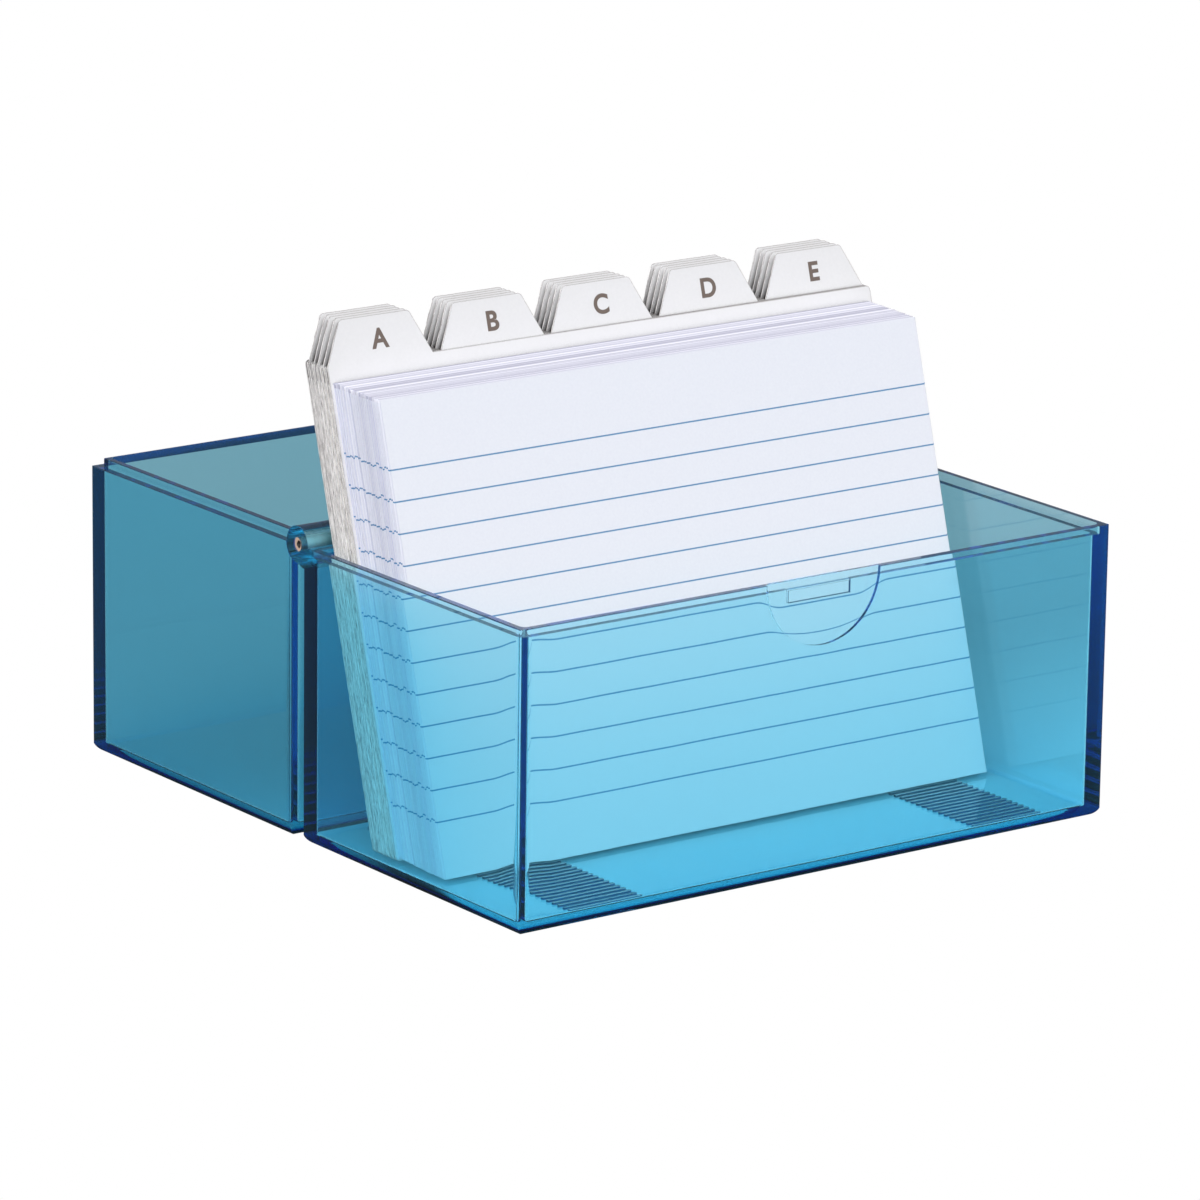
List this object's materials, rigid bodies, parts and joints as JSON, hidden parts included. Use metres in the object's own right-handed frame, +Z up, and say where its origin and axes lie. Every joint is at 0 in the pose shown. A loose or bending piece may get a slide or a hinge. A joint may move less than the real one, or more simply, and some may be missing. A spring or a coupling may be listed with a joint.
{
  "type": "index card box",
  "caption": "Hinged clear plastic box for ruled index cards: a tray with a leaning card pack and tabbed dividers, and a lid laid open behind it.",
  "frame": {"origin": "on the standing surface, under the hinge axis and midway along it, with the lid laid open", "axes": "+X along the hinge to the right as seen from the tray's front, +Y from the tray to the open lid, +Z up"},
  "size_m": [0.1616, 0.1696, 0.1176],
  "materials": {
    "clear_blue_plastic": "polished transparent moulding",
    "pin_steel": "drawn wire, cut ends",
    "card_paper": "smooth ruled card",
    "divider_board": "smooth grey-cored board"
  },
  "bodies": {
    "tray": {"tray": "clear_blue_plastic", "left_hinge_pin": "pin_steel", "right_hinge_pin": "pin_steel"},
    "lid": {"lid": "clear_blue_plastic"},
    "front_card": {"front_card": "card_paper"},
    "card_bundle_1": {"card_bundle_1": "card_paper"},
    "card_bundle_2": {"card_bundle_2": "card_paper"},
    "card_bundle_3": {"card_bundle_3": "card_paper"},
    "card_bundle_4": {"card_bundle_4": "card_paper"},
    "card_bundle_5": {"card_bundle_5": "card_paper"},
    "card_bundle_6": {"card_bundle_6": "card_paper"},
    "card_bundle_7": {"card_bundle_7": "card_paper"},
    "card_bundle_8": {"card_bundle_8": "card_paper"},
    "card_bundle_9": {"card_bundle_9": "card_paper"},
    "divider_row_1": {"index_divider_a": "divider_board", "index_divider_b": "divider_board", "index_divider_c": "divider_board", "index_divider_d": "divider_board", "index_divider_e": "divider_board"},
    "divider_row_2": {"index_divider_f": "divider_board", "index_divider_g": "divider_board", "index_divider_h": "divider_board", "index_divider_i": "divider_board", "index_divider_j": "divider_board"},
    "divider_row_3": {"index_divider_k": "divider_board", "index_divider_l": "divider_board", "index_divider_m": "divider_board", "index_divider_n": "divider_board", "index_divider_o": "divider_board"},
    "divider_row_4": {"index_divider_p": "divider_board", "index_divider_q": "divider_board", "index_divider_r": "divider_board", "index_divider_s": "divider_board", "index_divider_t": "divider_board"},
    "divider_row_5": {"index_divider_u": "divider_board", "index_divider_v": "divider_board", "index_divider_w": "divider_board", "index_divider_x": "divider_board", "index_divider_yz": "divider_board"}
  },
  "joints": [
    {"name": "lid_hinge", "type": "hinge", "parent": "tray", "child": "lid", "pos_m": [0, 0, 0.0682], "axis": [1, 0, 0], "range_deg": [0, 180]},
    {"name": "card_bundle_1_tilt", "type": "hinge", "parent": "tray", "child": "card_bundle_1", "pos_m": [0, -0.0502, 0.0031], "axis": [1, 0, 0], "range_deg": [0, 7.2]},
    {"name": "card_bundle_2_tilt", "type": "hinge", "parent": "tray", "child": "card_bundle_2", "pos_m": [0, -0.0483, 0.0031], "axis": [1, 0, 0], "range_deg": [0, 7.2]},
    {"name": "card_bundle_3_tilt", "type": "hinge", "parent": "tray", "child": "card_bundle_3", "pos_m": [0, -0.0464, 0.0031], "axis": [1, 0, 0], "range_deg": [0, 7.2]},
    {"name": "card_bundle_4_tilt", "type": "hinge", "parent": "tray", "child": "card_bundle_4", "pos_m": [0, -0.0445, 0.0031], "axis": [1, 0, 0], "range_deg": [0, 7.2]},
    {"name": "card_bundle_5_tilt", "type": "hinge", "parent": "tray", "child": "card_bundle_5", "pos_m": [0, -0.04261, 0.0031], "axis": [1, 0, 0], "range_deg": [0, 7.2]},
    {"name": "card_bundle_6_tilt", "type": "hinge", "parent": "tray", "child": "card_bundle_6", "pos_m": [0, -0.04071, 0.0031], "axis": [1, 0, 0], "range_deg": [0, 7.2]},
    {"name": "card_bundle_7_tilt", "type": "hinge", "parent": "tray", "child": "card_bundle_7", "pos_m": [0, -0.03881, 0.0031], "axis": [1, 0, 0], "range_deg": [0, 7.2]},
    {"name": "card_bundle_8_tilt", "type": "hinge", "parent": "tray", "child": "card_bundle_8", "pos_m": [0, -0.03691, 0.0031], "axis": [1, 0, 0], "range_deg": [0, 7.2]},
    {"name": "card_bundle_9_tilt", "type": "hinge", "parent": "tray", "child": "card_bundle_9", "pos_m": [0, -0.03501, 0.0031], "axis": [1, 0, 0], "range_deg": [0, 7.2]},
    {"name": "divider_row_1_tilt", "type": "hinge", "parent": "tray", "child": "divider_row_1", "pos_m": [0, -0.03293, 0.0031], "axis": [1, 0, 0], "range_deg": [0, 7.2]},
    {"name": "divider_row_2_tilt", "type": "hinge", "parent": "tray", "child": "divider_row_2", "pos_m": [0, -0.03113, 0.0031], "axis": [1, 0, 0], "range_deg": [0, 7.2]},
    {"name": "divider_row_3_tilt", "type": "hinge", "parent": "tray", "child": "divider_row_3", "pos_m": [0, -0.02933, 0.0031], "axis": [1, 0, 0], "range_deg": [0, 7.2]},
    {"name": "divider_row_4_tilt", "type": "hinge", "parent": "tray", "child": "divider_row_4", "pos_m": [0, -0.02754, 0.0031], "axis": [1, 0, 0], "range_deg": [0, 7.2]},
    {"name": "divider_row_5_tilt", "type": "hinge", "parent": "tray", "child": "divider_row_5", "pos_m": [0, -0.02574, 0.0031], "axis": [1, 0, 0], "range_deg": [0, 7.2]},
    {"name": "front_card_tip", "type": "hinge", "parent": "card_bundle_1", "child": "front_card", "pos_m": [0, -0.05038, 0.0031], "axis": [1, 0, 0], "range_deg": [0, 20]}
  ],
  "couplings": [
    {"joint": "card_bundle_1_tilt", "follows": "lid_hinge", "ratio": 0.04},
    {"joint": "card_bundle_2_tilt", "follows": "lid_hinge", "ratio": 0.04},
    {"joint": "card_bundle_3_tilt", "follows": "lid_hinge", "ratio": 0.04},
    {"joint": "card_bundle_4_tilt", "follows": "lid_hinge", "ratio": 0.04},
    {"joint": "card_bundle_5_tilt", "follows": "lid_hinge", "ratio": 0.04},
    {"joint": "card_bundle_6_tilt", "follows": "lid_hinge", "ratio": 0.04},
    {"joint": "card_bundle_7_tilt", "follows": "lid_hinge", "ratio": 0.04},
    {"joint": "card_bundle_8_tilt", "follows": "lid_hinge", "ratio": 0.04},
    {"joint": "card_bundle_9_tilt", "follows": "lid_hinge", "ratio": 0.04},
    {"joint": "divider_row_1_tilt", "follows": "lid_hinge", "ratio": 0.04},
    {"joint": "divider_row_2_tilt", "follows": "lid_hinge", "ratio": 0.04},
    {"joint": "divider_row_3_tilt", "follows": "lid_hinge", "ratio": 0.04},
    {"joint": "divider_row_4_tilt", "follows": "lid_hinge", "ratio": 0.04},
    {"joint": "divider_row_5_tilt", "follows": "lid_hinge", "ratio": 0.04}
  ]
}
